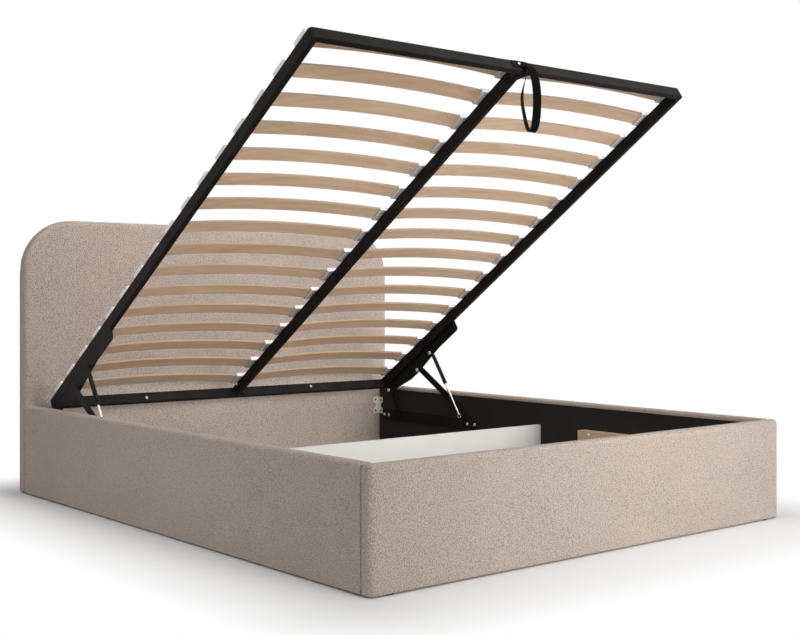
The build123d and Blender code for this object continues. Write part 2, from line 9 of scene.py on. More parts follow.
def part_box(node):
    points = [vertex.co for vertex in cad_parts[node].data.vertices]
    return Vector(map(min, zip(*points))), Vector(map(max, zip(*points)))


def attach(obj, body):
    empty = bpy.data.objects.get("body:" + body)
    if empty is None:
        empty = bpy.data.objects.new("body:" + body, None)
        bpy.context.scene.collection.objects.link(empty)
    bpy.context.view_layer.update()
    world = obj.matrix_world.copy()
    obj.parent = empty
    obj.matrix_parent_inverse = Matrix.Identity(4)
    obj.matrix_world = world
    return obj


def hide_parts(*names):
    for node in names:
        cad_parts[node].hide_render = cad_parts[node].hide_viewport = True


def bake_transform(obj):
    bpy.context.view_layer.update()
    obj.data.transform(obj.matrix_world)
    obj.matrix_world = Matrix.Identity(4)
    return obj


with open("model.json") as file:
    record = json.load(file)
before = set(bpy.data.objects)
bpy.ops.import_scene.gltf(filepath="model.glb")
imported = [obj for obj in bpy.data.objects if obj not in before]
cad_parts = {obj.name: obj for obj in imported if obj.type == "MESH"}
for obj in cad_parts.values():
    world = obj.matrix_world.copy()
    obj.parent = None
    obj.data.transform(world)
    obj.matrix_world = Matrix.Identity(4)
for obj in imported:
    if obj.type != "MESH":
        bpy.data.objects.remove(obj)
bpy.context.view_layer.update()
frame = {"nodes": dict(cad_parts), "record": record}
nodes = frame["nodes"]
chance = random.Random(11)
print("bed loaded:", len(nodes), "nodes")


# ---- camera, light and floor
view = {"place": (-2.751, -3.454, 0.750), "turn": -39.65, "lens": 55.82, "sensor": 36, "shift": -0.0299,
        "farClip": 100}

bpy.ops.object.select_all(action="DESELECT")
bpy.ops.object.camera_add(location=view["place"], rotation=(math.radians(90), 0, math.radians(view["turn"])))
camera = bpy.context.object
camera.name = "bedCamera"
camera.data.lens = view["lens"]
camera.data.sensor_width = view["sensor"]
camera.data.shift_y = view["shift"]
camera.data.clip_end = view["farClip"]
bpy.context.scene.camera = camera
bpy.context.scene.view_settings.view_transform = "Standard"


# Node helpers: one node with its sockets filled, then the few sums the finishes share
def put(tree, kind, feeds=None, **settings):
    node = tree.nodes.new("ShaderNode" + kind)
    for name, value in settings.items():
        setattr(node, name, value)
    for name, value in (feeds or {}).items():
        if isinstance(value, bpy.types.NodeSocket):
            tree.links.new(value, node.inputs[name])
        else:
            node.inputs[name].default_value = value
    return node


def sumOf(tree, operation, first, second=0.0):
    return put(tree, "Math", {0: first, 1: second}, operation=operation).outputs[0]


def remap(tree, value, low, high, newLow=0.0, newHigh=1.0):
    feeds = {"Value": value, "From Min": low, "From Max": high, "To Min": newLow, "To Max": newHigh}
    return put(tree, "MapRange", feeds).outputs[0]


def blendColours(tree, factor, first, second):
    return put(tree, "Mix", {0: factor, 6: first, 7: second}, data_type="RGBA").outputs[2]


def startGroup(name, inputs, outputs):
    group = bpy.data.node_groups.new(name, "ShaderNodeTree")
    for title, kind, value in inputs:
        socket = group.interface.new_socket(name=title, in_out="INPUT", socket_type="NodeSocket" + kind)
        if value is not None:
            socket.default_value = value
    for title, kind in outputs:
        group.interface.new_socket(name=title, in_out="OUTPUT", socket_type="NodeSocket" + kind)
    return group, group.nodes.new("NodeGroupInput"), group.nodes.new("NodeGroupOutput")


def startMaterial(name, settings):
    material = bpy.data.materials.new(name)
    material.use_nodes = True
    shader = material.node_tree.nodes["Principled BSDF"]
    for title, value in settings.items():
        shader.inputs[title].default_value = value
    return material, material.node_tree, shader


def useGroup(tree, group, feeds):
    node = put(tree, "Group", node_tree=group)
    for title, value in feeds.items():
        if isinstance(value, bpy.types.NodeSocket):
            tree.links.new(value, node.inputs[title])
        else:
            node.inputs[title].default_value = value
    return node


def objectSpace(tree):
    return put(tree, "TexCoord").outputs["Object"]


def tones(look):
    return {"Light": (*look["light"], 1), "Dark": (*look["dark"], 1)}


def blendTones(tree, factor, look):
    return blendColours(tree, factor, (*look["dark"], 1), (*look["light"], 1))


def colourShader(tree, shader, colour):
    tree.links.new(colour, shader.inputs["Base Color"])


def bumpShader(tree, shader, height, strength, distance):
    bump = put(tree, "Bump", {"Height": height, "Strength": strength, "Distance": distance})
    tree.links.new(bump.outputs[0], shader.inputs["Normal"])


studio = {
    "ambient": (0.270, 0.269, 0.266), "lampColour": (1.0, 0.985, 0.965), "floorColour": (0.90, 0.90, 0.90),
    "floorSize": 80, "floorDrop": 0.0005, "floorFade": (0.0, 0.40), "footprint": (0.87, 1.07),
}
lamps = {
    "key": {"power": 5.5, "place": (4.3, -3.6, 2.7), "aim": (1.25, -0.9, 0.3), "size": 2.2, "spread": 42},
    "front": {"power": 14.5, "place": (0.6, -4.6, 2.3), "aim": (0.1, 1.0, 0.6), "size": 2.6, "spread": 42},
    "low": {"power": 6.2, "place": (1.0, -4.6, 0.9), "aim": (-0.1, 0.8, 0.6), "size": 1.8, "spread": 42},
    "side": {"power": 6.0, "place": (-3.8, -0.8, 2.6), "aim": (0.6, 0.0, 0.3), "size": 2.4, "spread": 50},
    "head": {"power": 7.0, "place": (0.7, -0.5, 2.9), "aim": (0.15, 1.0, 0.75), "size": 1.8, "spread": 60},
    "top": {"power": 40, "place": (-0.6, -1.6, 4.2), "aim": (0, -0.2, 0.35), "size": 4.0, "spread": 180},
}


def seenDirectly(tree):
    path = put(tree, "LightPath")
    seen = sumOf(tree, "MAXIMUM", path.outputs["Is Camera Ray"], path.outputs["Is Glossy Ray"])
    return sumOf(tree, "MAXIMUM", seen, path.outputs["Is Transmission Ray"])


def makeStudio():
    world = bpy.data.worlds.new("studioWorld")
    bpy.context.scene.world = world
    world.use_nodes = True
    tree = world.node_tree
    ambient = tree.nodes["Background"]
    ambient.inputs["Color"].default_value = (*studio["ambient"], 1)
    white = put(tree, "Background", {"Color": (1, 1, 1, 1), "Strength": 1.0})
    mixed = put(tree, "MixShader", {0: seenDirectly(tree), 1: ambient.outputs[0], 2: white.outputs[0]})
    tree.links.new(mixed.outputs[0], tree.nodes["World Output"].inputs["Surface"])

    for name, setting in lamps.items():
        place = Vector(setting["place"])
        aim = (Vector(setting["aim"]) - place).to_track_quat("-Z", "Y").to_euler()
        bpy.ops.object.light_add(type="AREA", location=place, rotation=aim)
        lamp = bpy.context.object
        lamp.name = name + "Lamp"
        lamp.data.energy = setting["power"]
        lamp.data.size = setting["size"]
        lamp.data.spread = math.radians(setting["spread"])
        lamp.data.color = studio["lampColour"]

    bpy.ops.object.select_all(action="DESELECT")
    bpy.ops.mesh.primitive_grid_add(x_subdivisions=4, y_subdivisions=4, size=studio["floorSize"],
                                    location=(0, 0, -studio["floorDrop"]))
    ground = bpy.context.object
    ground.name = "studioFloor"
    material, tree, shader = startMaterial("paleFloor", {"Roughness": 0.9, "Specular IOR Level": 0.1})
    shader.inputs["Base Color"].default_value = (*studio["floorColour"], 1)
    # The floor turns white a short way outside the footprint, so only the shadow beside the bed shows
    place = put(tree, "SeparateXYZ", {0: objectSpace(tree)})
    beyond = []
    for n, half in enumerate(studio["footprint"]):
        past = sumOf(tree, "SUBTRACT", sumOf(tree, "ABSOLUTE", place.outputs[n]), half)
        beyond.append(sumOf(tree, "MAXIMUM", past, 0.0))
    away = sumOf(tree, "SQRT", sumOf(tree, "ADD", *[sumOf(tree, "MULTIPLY", run, run) for run in beyond]))
    far = remap(tree, away, *studio["floorFade"])
    glow = put(tree, "Emission", {"Color": (1, 1, 1, 1), "Strength": 1.0})
    share = sumOf(tree, "MULTIPLY", far, seenDirectly(tree))
    mixed = put(tree, "MixShader", {0: share, 1: shader.outputs[0], 2: glow.outputs[0]})
    tree.links.new(mixed.outputs[0], tree.nodes["Material Output"].inputs["Surface"])
    ground.data.materials.append(material)


makeStudio()
print("studio ready")


# ---- finishes
def boucleGroup():
    group, entry, leave = startGroup(
        "boucleWeaveAndShade",
        [("Vector", "Vector", None), ("Loops per Metre", "Float", 300.0), ("Light", "Color", (1, 1, 1, 1)),
         ("Dark", "Color", (0, 0, 0, 1)), ("Mottle", "Float", 0.08)],
        [("Colour", "Color"), ("Height", "Float")],
    )
    loops = entry.outputs["Loops per Metre"]
    drift = put(group, "TexNoise", {"Vector": entry.outputs["Vector"], "Detail": 2.0,
                                    "Scale": sumOf(group, "MULTIPLY", loops, 0.55)})
    bent = put(group, "VectorMath", {0: drift.outputs["Color"], 1: (0.005, 0.005, 0.005),
                                     2: entry.outputs["Vector"]}, operation="MULTIPLY_ADD")
    cells = put(group, "TexVoronoi", {"Vector": bent.outputs[0], "Scale": loops}, feature="F1")
    curl = remap(group, cells.outputs["Distance"], 0.18, 0.78, 1.0, 0.0)
    fibre = put(group, "TexNoise", {"Vector": entry.outputs["Vector"], "Detail": 2.0, "Roughness": 0.6,
                                    "Scale": sumOf(group, "MULTIPLY", loops, 3.2)})
    height = sumOf(group, "ADD", sumOf(group, "MULTIPLY", curl, 0.8),
                   sumOf(group, "MULTIPLY", fibre.outputs["Fac"], 0.3))
    patch = put(group, "TexNoise", {"Vector": entry.outputs["Vector"], "Scale": 7.0, "Detail": 3.0})
    tone = remap(group, patch.outputs["Fac"], 0.3, 0.7, -0.5, 0.5)
    lift = sumOf(group, "MULTIPLY", tone, entry.outputs["Mottle"])
    # The colour darkens with the loop height: partly the yarn's own tone, partly painted shade in the hollows
    # between loops
    mixed = blendColours(group, sumOf(group, "ADD", height, lift), entry.outputs["Dark"],
                         entry.outputs["Light"])
    group.links.new(mixed, leave.inputs["Colour"])
    group.links.new(height, leave.inputs["Height"])
    return group


def grainGroup():
    group, entry, leave = startGroup(
        "plankGrain",
        [("Vector", "Vector", None), ("Light", "Color", (1, 1, 1, 1)), ("Dark", "Color", (0, 0, 0, 1)),
         ("Figure", "Float", 1.0), ("Board Tone", "Float", 0.5)],
        [("Colour", "Color"), ("Height", "Float")],
    )
    figure = put(group, "TexNoise", {"Vector": entry.outputs["Vector"], "Scale": entry.outputs["Figure"],
                                     "Detail": 4.0, "Distortion": 0.9})
    rings = put(group, "TexWave", {"Vector": entry.outputs["Vector"], "Scale": 0.8, "Distortion": 5.0,
                                   "Detail": 3.0}, bands_direction="DIAGONAL")
    fine = put(group, "TexNoise", {"Vector": entry.outputs["Vector"], "Scale": 14.0, "Detail": 5.0,
                                   "Roughness": 0.7})
    pores = remap(group, fine.outputs["Fac"], 0.52, 0.68)
    broad = remap(group, figure.outputs["Fac"], 0.32, 0.68)
    grain = sumOf(group, "ADD", sumOf(group, "MULTIPLY", broad, 0.5),
                  sumOf(group, "MULTIPLY", rings.outputs["Fac"], 0.25))
    grain = sumOf(group, "ADD", grain, sumOf(group, "MULTIPLY", entry.outputs["Board Tone"], 0.35))
    grain = sumOf(group, "SUBTRACT", grain, sumOf(group, "MULTIPLY", pores, 0.18))
    mixed = blendColours(group, remap(group, grain, 0.0, 1.0), entry.outputs["Dark"], entry.outputs["Light"])
    group.links.new(mixed, leave.inputs["Colour"])
    group.links.new(sumOf(group, "MULTIPLY", pores, -1.0), leave.inputs["Height"])
    return group


def wornEdgeGroup():
    group, entry, leave = startGroup(
        "edgeWearAndHighlight", [("Vector", "Vector", None), ("Width", "Float", 0.0012), ("Patches", "Float", 60.0)],
        [("Mask", "Float")],
    )
    rounded = put(group, "Bevel", {"Radius": entry.outputs["Width"]}, samples=4)
    true = put(group, "NewGeometry")
    turn = put(group, "VectorMath", {0: rounded.outputs[0], 1: true.outputs["Normal"]},
               operation="DOT_PRODUCT")
    edge = remap(group, turn.outputs["Value"], 0.995, 0.90)
    rub = put(group, "TexNoise", {"Vector": entry.outputs["Vector"], "Scale": entry.outputs["Patches"],
                                  "Detail": 4.0})
    mask = sumOf(group, "MULTIPLY", edge, remap(group, rub.outputs["Fac"], 0.42, 0.62))
    group.links.new(mask, leave.inputs["Mask"])
    return group


def fineGrainGroup():
    group, entry, leave = startGroup(
        "fineGrain", [("Vector", "Vector", None), ("Grain", "Float", 900.0), ("Smudges", "Float", 12.0)],
        [("Speckle", "Float"), ("Smudge", "Float")],
    )
    grit = put(group, "TexNoise", {"Vector": entry.outputs["Vector"], "Scale": entry.outputs["Grain"],
                                   "Detail": 3.0})
    wipe = put(group, "TexNoise", {"Vector": entry.outputs["Vector"], "Scale": entry.outputs["Smudges"],
                                   "Detail": 4.0})
    group.links.new(grit.outputs["Fac"], leave.inputs["Speckle"])
    group.links.new(remap(group, wipe.outputs["Fac"], 0.3, 0.7), leave.inputs["Smudge"])
    return group


boucleWeaveAndShade = boucleGroup()
plankGrain = grainGroup()
edgeWearAndHighlight = wornEdgeGroup()
fineGrain = fineGrainGroup()

lift = {"origin": Vector((0, 0.932, 0.318)), "angle": 34, "length": 2.010, "tube": 0.020}
liftTurn = Matrix.Rotation(math.radians(lift["angle"]), 3, "X")
liftShift = -(liftTurn @ lift["origin"])


# A point of the open lift frame: across the bed, along it from the head end, up from the tubes' underside
def onFrame(across, along, height):
    return lift["origin"] + liftTurn.inverted() @ Vector((across, -along, height))


def makeUpholstery():
    # The dark tone stands both for the yarn and for painted shade in the hollows between loops
    look = {"light": (0.67, 0.567, 0.500), "dark": (0.295, 0.244, 0.211), "loops": 290.0, "mottle": 0.10}
    material, tree, shader = startMaterial("boucleFabric", {
        "Roughness": 0.92, "Sheen Weight": 0.25, "Sheen Roughness": 0.5, "Specular IOR Level": 0.15,
    })
    place = objectSpace(tree)
    weave = useGroup(tree, boucleWeaveAndShade, {"Vector": place, "Loops per Metre": look["loops"],
                                         "Mottle": look["mottle"], **tones(look)})
    colourShader(tree, shader, weave.outputs["Colour"])
    bumpShader(tree, shader, weave.outputs["Height"], strength=0.8, distance=0.0030)
    return material


def makeLining():
    look = {"light": (0.022, 0.019, 0.017), "dark": (0.009, 0.008, 0.007)}
    material, tree, shader = startMaterial(
        "liningCloth", {"Roughness": 0.95, "Sheen Weight": 0.15, "Specular IOR Level": 0.2}
    )
    place = objectSpace(tree)
    dimple = put(tree, "TexVoronoi", {"Vector": place, "Scale": 420.0, "Randomness": 0.25})
    grain = useGroup(tree, fineGrain, {"Vector": place, "Grain": 1500.0, "Smudges": 5.0})
    mixed = sumOf(tree, "ADD", sumOf(tree, "MULTIPLY", grain.outputs["Speckle"], 0.6),
                  sumOf(tree, "MULTIPLY", grain.outputs["Smudge"], 0.4))
    colour = blendTones(tree, mixed, look)
    colourShader(tree, shader, colour)
    bumpShader(tree, shader, dimple.outputs["Distance"], strength=0.4, distance=0.0006)
    return material


def makePaint(name, look):
    material, tree, shader = startMaterial(name, {"Specular IOR Level": look["gloss"]})
    place = objectSpace(tree)
    grain = useGroup(tree, fineGrain, {"Vector": place, "Grain": look["grain"], "Smudges": look["smudges"]})
    edgeMask = useGroup(tree, edgeWearAndHighlight, {"Vector": place, "Width": look["edge"], "Patches": look["patches"]})
    base = blendTones(tree, grain.outputs["Smudge"], look)
    wear = sumOf(tree, "MULTIPLY", edgeMask.outputs["Mask"], look["wear"])
    colour = blendColours(tree, wear, base, (*look["bare"], 1))
    colourShader(tree, shader, colour)
    rough = remap(tree, grain.outputs["Smudge"], 0.0, 1.0, *look["roughness"])
    tree.links.new(rough, shader.inputs["Roughness"])
    bumpShader(tree, shader, grain.outputs["Speckle"], strength=look["bump"], distance=0.0004)
    return material


def makeSteelPaint():
    return makePaint("blackPaintedSteel", {
        "dark": (0.013, 0.012, 0.011), "light": (0.023, 0.021, 0.019), "bare": (0.06, 0.055, 0.05),
        "wear": 0.3, "edge": 0.0012, "patches": 45.0, "grain": 1100.0, "smudges": 9.0,
        "roughness": (0.46, 0.60), "bump": 0.25, "gloss": 0.035,
    })


def makeCapPlastic():
    return makePaint("capMoulding", {
        "dark": (0.82, 0.805, 0.80), "light": (0.90, 0.885, 0.88), "bare": (0.93, 0.92, 0.92), "wear": 0.4,
        "edge": 0.0010, "patches": 60.0, "grain": 1600.0, "smudges": 14.0, "roughness": (0.42, 0.55),
        "bump": 0.2, "gloss": 0.45,
    })


def makeGlidePlastic():
    return makePaint("glidePlastic", {
        "dark": (0.015, 0.015, 0.015), "light": (0.03, 0.03, 0.03), "bare": (0.12, 0.12, 0.12), "wear": 0.5,
        "edge": 0.0008, "patches": 80.0, "grain": 1200.0, "smudges": 20.0, "roughness": (0.5, 0.7),
        "bump": 0.3, "gloss": 0.45,
    })


def makeMetal(name, look):
    material, tree, shader = startMaterial(name, {"Metallic": look["metal"]})
    place = objectSpace(tree)
    grain = useGroup(tree, fineGrain, {"Vector": place, "Grain": look["grain"],
                                       "Smudges": look["smudges"]})
    edgeMask = useGroup(tree, edgeWearAndHighlight, {"Vector": place, "Width": 0.0008, "Patches": 90.0})
    base = blendTones(tree, grain.outputs["Smudge"], look)
    colour = blendColours(tree, sumOf(tree, "MULTIPLY", edgeMask.outputs["Mask"], 0.5), base, (*look["edge"], 1))
    colourShader(tree, shader, colour)
    rough = remap(tree, grain.outputs["Speckle"], 0.3, 0.7, *look["roughness"])
    tree.links.new(rough, shader.inputs["Roughness"])
    bumpShader(tree, shader, grain.outputs["Speckle"], strength=look["bump"], distance=0.0002)
    return material


def makeZinc():
    return makeMetal("brightZinc", {
        "dark": (0.74, 0.73, 0.72), "light": (0.88, 0.87, 0.85), "edge": (0.92, 0.91, 0.90),
        "grain": 700.0, "smudges": 40.0, "roughness": (0.28, 0.44), "bump": 0.15, "metal": 0.25,
    })


def makeRodSteel():
    return makeMetal("polishedRod", {
        "dark": (0.58, 0.57, 0.56), "light": (0.72, 0.71, 0.70), "edge": (0.80, 0.80, 0.80),
        "grain": 300.0, "smudges": 30.0, "roughness": (0.14, 0.24), "bump": 0.05, "metal": 0.9,
    })


def makeSlatWood():
    # The edge colour is both the ply lines' own dark and a painted shade laid over the whole long edge
    look = {"light": (0.88, 0.640, 0.450), "dark": (0.66, 0.445, 0.290), "plyAndEdgeShade": (0.19, 0.135, 0.090),
            "underside": 0.0433, "bow": 0.020, "middle": 0.3885, "half": 0.3825, "plies": 0.0016,
            "edgeShadeFloor": 0.75}
    material, tree, shader = startMaterial("birchPly", {"Roughness": 0.5, "Specular IOR Level": 0.35})
    place = objectSpace(tree)
    turned = put(tree, "Mapping", {"Vector": place, "Rotation": (math.radians(lift["angle"]), 0, 0),
                                   "Location": liftShift})
    planed = put(tree, "Mapping", {"Vector": turned.outputs[0], "Scale": (1.6, 22, 60)})
    slatTone = put(tree, "Mapping", {"Vector": turned.outputs[0], "Scale": (0.9, 7.9, 0.0)})
    tone = put(tree, "TexNoise", {"Vector": slatTone.outputs[0], "Scale": 1.0, "Detail": 0.0})
    grain = useGroup(tree, plankGrain, {"Vector": planed.outputs[0], "Figure": 1.6, **tones(look),
                                        "Board Tone": remap(tree, tone.outputs["Fac"], 0.3, 0.7)})
    # Ply lines follow the bow and show on the long edges only. The long edges are also darkened all over, a
    # painted shade that holds down the light from above on them
    parts = put(tree, "SeparateXYZ", {0: turned.outputs[0]})
    fromMiddle = sumOf(tree, "SUBTRACT", sumOf(tree, "ABSOLUTE", parts.outputs[0]), look["middle"])
    reach = sumOf(tree, "DIVIDE", fromMiddle, look["half"])
    arch = sumOf(tree, "SUBTRACT", 1.0, sumOf(tree, "MULTIPLY", reach, reach))
    rise = sumOf(tree, "MULTIPLY", arch, look["bow"])
    depth = sumOf(tree, "SUBTRACT", sumOf(tree, "SUBTRACT", parts.outputs[2], look["underside"]), rise)
    wave = sumOf(tree, "SINE", sumOf(tree, "MULTIPLY", depth, 2 * math.pi / look["plies"]))
    lines = remap(tree, wave, 0.1, 0.8)
    face = put(tree, "NewGeometry")
    facing = put(tree, "VectorMath", {0: face.outputs["Normal"], 1: liftTurn.inverted() @ Vector((0, 1, 0))},
                 operation="DOT_PRODUCT")
    onEdge = remap(tree, sumOf(tree, "ABSOLUTE", facing.outputs["Value"]), 0.7, 0.8)
    # The long edges go dark all over, not only on the ply lines: painted shade on top of the ply's own darker
    # lines
    share = sumOf(tree, "MULTIPLY", remap(tree, lines, 0.0, 1.0, look["edgeShadeFloor"], 1.0), onEdge)
    colour = blendColours(tree, share, grain.outputs["Colour"], (*look["plyAndEdgeShade"], 1))
    colourShader(tree, shader, colour)
    bumpShader(tree, shader, grain.outputs["Height"], strength=0.25, distance=0.0006)
    return material


def makeBatten():
    look = {"light": (0.74, 0.57, 0.41), "dark": (0.54, 0.37, 0.23)}
    material, tree, shader = startMaterial("planedSoftwood", {"Roughness": 0.62, "Specular IOR Level": 0.3})
    place = objectSpace(tree)
    planed = put(tree, "Mapping", {"Vector": place, "Scale": (30, 1.5, 30)})
    grain = useGroup(tree, plankGrain, {"Vector": planed.outputs[0], "Figure": 1.1, "Board Tone": 0.7,
                                        **tones(look)})
    colourShader(tree, shader, grain.outputs["Colour"])
    bumpShader(tree, shader, grain.outputs["Height"], strength=0.3, distance=0.0008)
    return material


def makeChipboard():
    look = {"light": (0.50, 0.37, 0.24), "dark": (0.24, 0.16, 0.09)}
    material, tree, shader = startMaterial("rawChipboard", {"Roughness": 0.85, "Specular IOR Level": 0.2})
    place = objectSpace(tree)
    flat = put(tree, "Mapping", {"Vector": place, "Scale": (1, 0.45, 1)})
    chips = put(tree, "TexVoronoi", {"Vector": flat.outputs[0], "Scale": 320.0}, feature="F1")
    grain = useGroup(tree, fineGrain, {"Vector": place, "Grain": 700.0, "Smudges": 6.0})
    tint = put(tree, "SeparateColor", {0: chips.outputs["Color"]})
    mixed = sumOf(tree, "ADD", sumOf(tree, "MULTIPLY", tint.outputs[0], 0.6),
                  sumOf(tree, "MULTIPLY", grain.outputs["Speckle"], 0.4))
    colourShader(tree, shader, blendTones(tree, mixed, look))
    bumpShader(tree, shader, chips.outputs["Distance"], strength=0.3, distance=0.0008)
    return material


def makeFloorBoard():
    look = {"light": (0.045, 0.042, 0.040), "dark": (0.022, 0.020, 0.019)}
    material, tree, shader = startMaterial("darkFacedBoard", {"Specular IOR Level": 0.35})
    place = objectSpace(tree)
    stretched = put(tree, "Mapping", {"Vector": place, "Scale": (20, 1.2, 1)})
    grain = useGroup(tree, fineGrain, {"Vector": place, "Grain": 900.0, "Smudges": 3.0})
    streak = put(tree, "TexNoise", {"Vector": stretched.outputs[0], "Scale": 6.0, "Detail": 5.0})
    colour = blendTones(tree, streak.outputs["Fac"], look)
    colourShader(tree, shader, colour)
    tree.links.new(remap(tree, grain.outputs["Smudge"], 0, 1, 0.45, 0.65), shader.inputs["Roughness"])
    bumpShader(tree, shader, streak.outputs["Fac"], strength=0.15, distance=0.0005)
    return material


def makeWhiteBoard():
    look = {"light": (0.78, 0.765, 0.74), "dark": (0.70, 0.685, 0.655), "edge": (0.82, 0.80, 0.77)}
    material, tree, shader = startMaterial("whiteFacedBoard", {"Specular IOR Level": 0.4})
    place = objectSpace(tree)
    grain = useGroup(tree, fineGrain, {"Vector": place, "Grain": 500.0, "Smudges": 2.5})
    edgeMask = useGroup(tree, edgeWearAndHighlight, {"Vector": place, "Width": 0.0015, "Patches": 30.0})
    base = blendTones(tree, grain.outputs["Smudge"], look)
    # Lighter along the edges through the edge mask: a painted edge highlight on the board
    colour = blendColours(tree, edgeMask.outputs["Mask"], base, (*look["edge"], 1))
    colourShader(tree, shader, colour)
    tree.links.new(remap(tree, grain.outputs["Speckle"], 0.3, 0.7, 0.38, 0.48), shader.inputs["Roughness"])
    bumpShader(tree, shader, grain.outputs["Speckle"], strength=0.1, distance=0.0003)
    return material


def makeWebbing():
    look = {"light": (0.007, 0.0065, 0.0065), "dark": (0.002, 0.002, 0.002), "picks": 620.0}
    material, tree, shader = startMaterial(
        "blackWebbing", {"Roughness": 0.85, "Sheen Weight": 0.02, "Specular IOR Level": 0.03}
    )
    spot = put(tree, "SeparateXYZ", {0: put(tree, "TexCoord").outputs["UV"]})
    # UV runs in metres: along the strap first, across it second
    across = sumOf(tree, "MULTIPLY", spot.outputs[1], look["picks"])
    along = sumOf(tree, "MULTIPLY", spot.outputs[0], look["picks"] * 0.8)
    step = sumOf(tree, "PINGPONG", across, 1.0)
    slant = sumOf(tree, "SINE", sumOf(tree, "MULTIPLY", sumOf(tree, "ADD", along, step), math.pi))
    rib = sumOf(tree, "SINE", sumOf(tree, "MULTIPLY", across, math.pi * 2))
    height = sumOf(tree, "ADD", sumOf(tree, "MULTIPLY", slant, 0.5), sumOf(tree, "MULTIPLY", rib, 0.5))
    factor = remap(tree, height, -1.0, 1.0)
    colourShader(tree, shader, blendTones(tree, factor, look))
    bumpShader(tree, shader, factor, strength=0.6, distance=0.0008)
    return material


def makeThread():
    material, tree, shader = startMaterial("sewingThread", {"Roughness": 0.7, "Sheen Weight": 0.3})
    place = objectSpace(tree)
    twist = put(tree, "TexWave", {"Vector": place, "Scale": 900.0, "Distortion": 0.5},
                bands_direction="DIAGONAL")
    colour = blendColours(tree, twist.outputs["Fac"], (0.02, 0.02, 0.02, 1), (0.07, 0.07, 0.07, 1))
    colourShader(tree, shader, colour)
    bumpShader(tree, shader, twist.outputs["Fac"], strength=0.4, distance=0.0002)
    return material


finishes = {
    "upholstery": makeUpholstery(), "lining": makeLining(), "board": makeChipboard(),
    "lining_board": makeFloorBoard(), "batten": makeBatten(), "white_board": makeWhiteBoard(),
    "black_steel": makeSteelPaint(), "zinc": makeZinc(), "strut_rod": makeRodSteel(), "slat": makeSlatWood(),
    "slat_cap": makeCapPlastic(), "webbing": makeWebbing(), "glide": makeGlidePlastic(),
    "thread": makeThread(),
}

for part in frame["record"]["subparts"]:
    carried = nodes[part["node"]]
    if not carried.material_slots:
        carried.data.materials.append(None)
    for place in carried.material_slots:
        place.material = finishes[part["material_slot"]]
print("finishes ready:", len(finishes))


# ---- modelling helpers
def makeActive(piece):
    bpy.ops.object.select_all(action="DESELECT")
    piece.select_set(True)
    bpy.context.view_layer.objects.active = piece


def nameNew(name):
    piece = bpy.context.object
    piece.name = piece.data.name = name
    bpy.ops.object.transform_apply(location=True, rotation=True, scale=True)
    return piece


def addBlock(name, low, high):
    bpy.ops.object.select_all(action="DESELECT")
    middle = [(a + b) / 2 for a, b in zip(low, high)]
    bpy.ops.mesh.primitive_cube_add(size=1, location=middle, scale=[b - a for a, b in zip(low, high)])
    return nameNew(name)


# Selects what passes the test, by the middle of each edge or face, and opens edit mode
def pick(piece, kind, test):
    makeActive(piece)
    mesh = piece.data
    for group in (mesh.vertices, mesh.edges, mesh.polygons):
        group.foreach_set("select", [False] * len(group))
    if kind == "edges":
        bpy.context.tool_settings.mesh_select_mode = (False, True, False)
        for edge in mesh.edges:
            first, second = (mesh.vertices[i].co for i in edge.vertices)
            edge.select = bool(test((first + second) / 2, (second - first).normalized()))
    else:
        bpy.context.tool_settings.mesh_select_mode = (False, False, True)
        for face in mesh.polygons:
            face.select = bool(test(face.center, face.normal))
    bpy.ops.object.mode_set(mode="EDIT")


def roundEdges(piece, radius, segments, test):
    pick(piece, "edges", test)
    bpy.ops.mesh.bevel(offset=radius, segments=segments, affect="EDGES", clamp_overlap=True)
    bpy.ops.object.mode_set(mode="OBJECT")


def modify(piece, kind, **settings):
    makeActive(piece)
    bpy.ops.object.modifier_add(type=kind)
    modifier = piece.modifiers[-1]
    for name, value in settings.items():
        setattr(modifier, name, value)
    bpy.ops.object.modifier_apply(modifier=modifier.name)


def cutAway(piece, cutter):
    modify(piece, "BOOLEAN", operation="DIFFERENCE", object=cutter, solver="EXACT")
    bpy.data.objects.remove(cutter)


def smoothShade(piece, angle):
    makeActive(piece)
    bpy.ops.object.shade_smooth_by_angle(angle=math.radians(angle))


def settle(piece, body, slot, finish=None, replaced=()):
    piece.data.materials.clear()
    piece.data.materials.append(finishes[finish or slot])
    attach(piece, body)
    if replaced:
        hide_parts(*replaced)


def joinAs(name, parts):
    makeActive(parts[0])
    for part in parts:
        part.select_set(True)
    bpy.ops.object.join()
    joined = bpy.context.object
    joined.name = joined.data.name = name
    return joined


# ---- padded covers: a soft rounded shell round each board, open underneath and behind its lining
# How far a cutter reaches below the floor and past the face that it opens
cutter = {"below": 0.02, "beyond": 0.01}


def near(value, target, reach=0.002):
    return abs(value - target) < reach


# Wadding makes slow swells in the cloth, least beside the edges and where other pieces bear on it
def swellCloth(piece, depth, grain, weigh):
    swell = bpy.data.textures.new(piece.name + "Swell", "CLOUDS")
    swell.noise_scale = grain
    swell.noise_depth = 1
    group = piece.vertex_groups.new(name="swell")
    for vertex in piece.data.vertices:
        weight = weigh(vertex.co)
        if weight > 0:
            group.add([vertex.index], weight, "REPLACE")
    modify(piece, "DISPLACE", texture=swell, strength=depth, mid_level=0.75, vertex_group="swell")
    piece.vertex_groups.clear()


def softenBlock(piece, voxel, rounds):
    modify(piece, "REMESH", mode="VOXEL", voxel_size=voxel)
    modify(piece, "SMOOTH", factor=0.5, iterations=rounds)


def fade(value, low, high):
    return max(0.0, min(1.0, (value - low) / (high - low)))


def finishCover(piece, node):
    smoothShade(piece, 50)
    settle(piece, "bed_base", "upholstery", replaced=[node])


